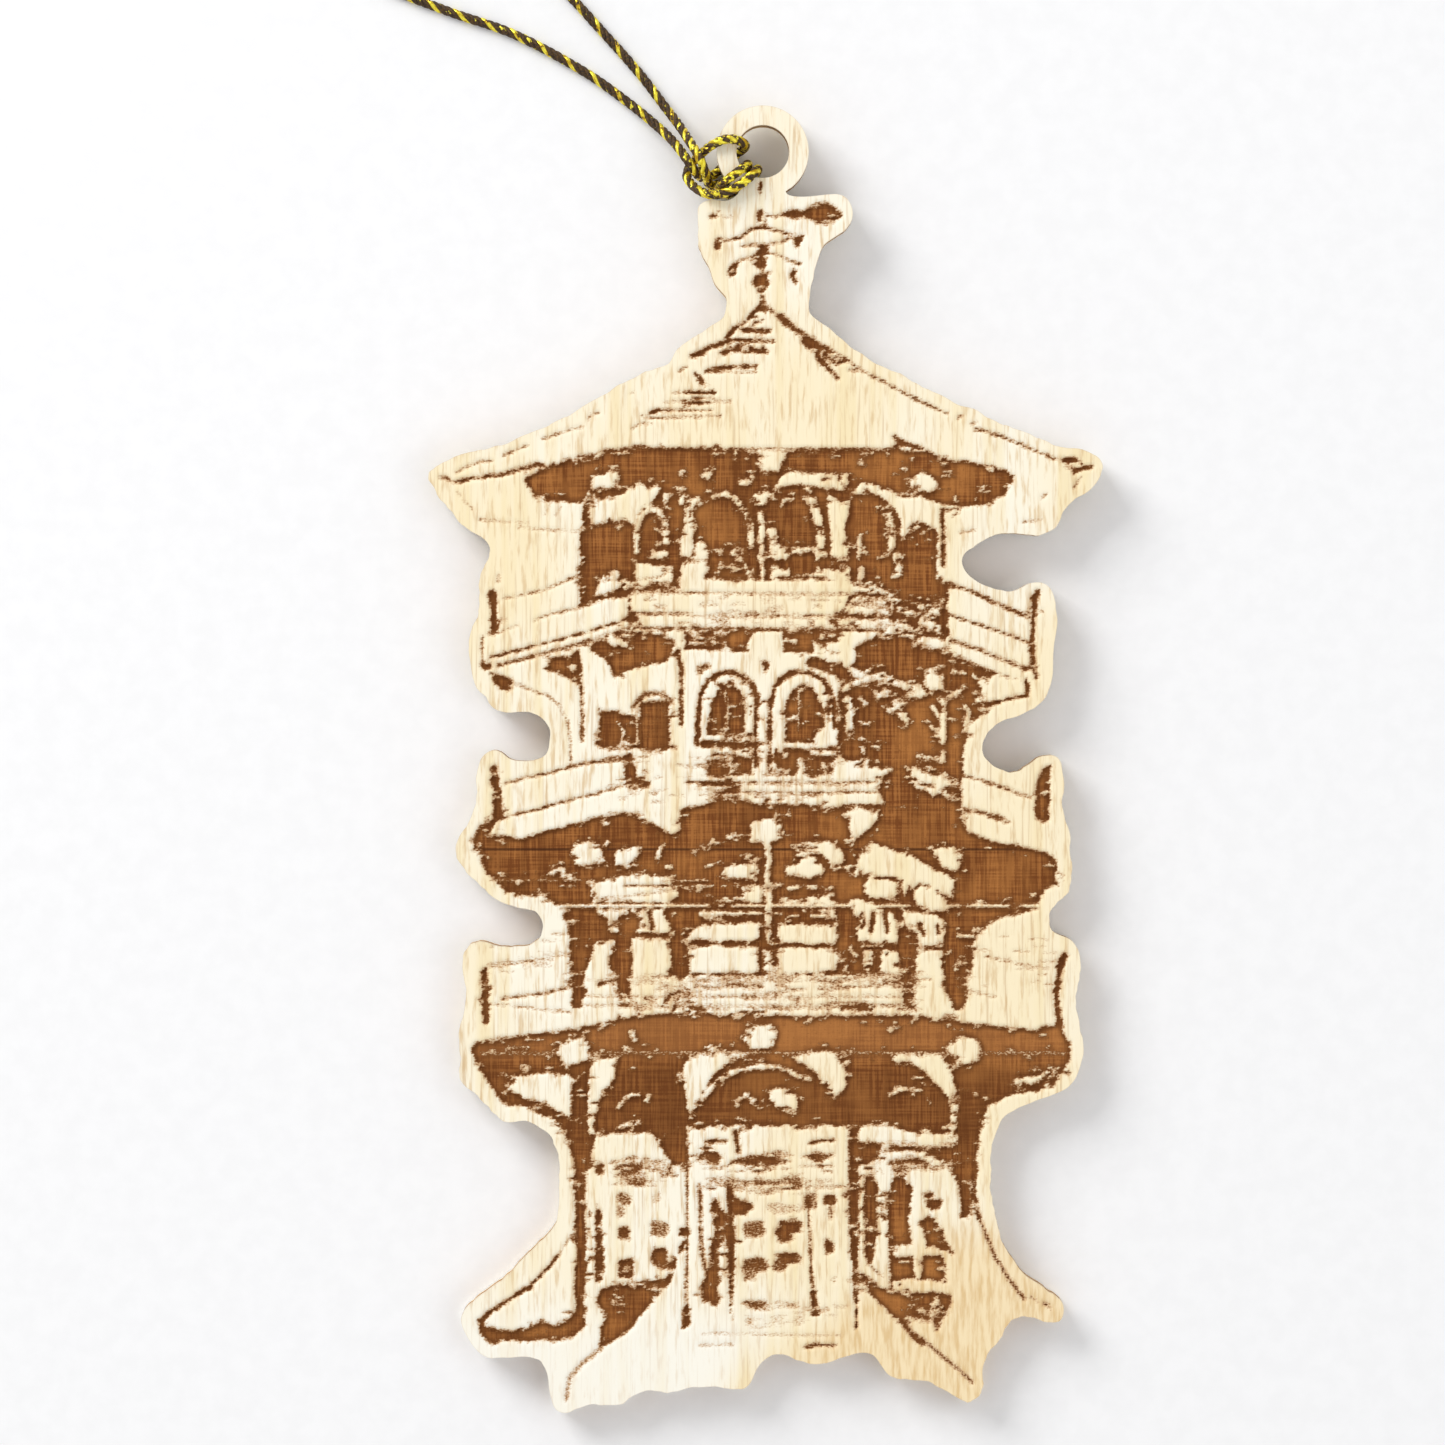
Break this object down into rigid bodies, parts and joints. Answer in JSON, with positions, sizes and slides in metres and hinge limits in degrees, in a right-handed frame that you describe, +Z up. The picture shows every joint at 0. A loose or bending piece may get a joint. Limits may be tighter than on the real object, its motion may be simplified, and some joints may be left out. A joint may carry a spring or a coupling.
{
  "type": "hanging ornament",
  "caption": "Flat laser-cut wooden tag shaped as a tiered tower with a wavy edge, an engraved face, a hanging ring and a thin metallic cord loop hitched to the ring.",
  "frame": {"origin": "on the surface the ornament lies on, under the middle of the wood's outline", "axes": "+X to the right across the engraved face, +Y from the foot to the hanging ring, +Z up out of the engraved face"},
  "size_m": [0.086, 0.1514, 0.0053],
  "materials": {
    "face_wood": "bare, fine sanded, laser engraved to a burnt brown",
    "core_wood": "bare, laser-cut edge, lightly charred",
    "metallic_cord": "twisted gold metallic thread"
  },
  "bodies": {
    "ornament": {"front_veneer": "face_wood", "core_ply": "core_wood", "back_veneer": "face_wood"},
    "cord": {"hang_cord": "metallic_cord", "end_knot": "metallic_cord", "cord_tails": "metallic_cord"}
  },
  "joints": [
    {"name": "hitch_slide", "type": "hinge", "parent": "ornament", "child": "cord", "pos_m": [-0.0003, 0.053, 0.0026], "axis": [0, 0, 1], "range_deg": [-140, 0]}
  ]
}
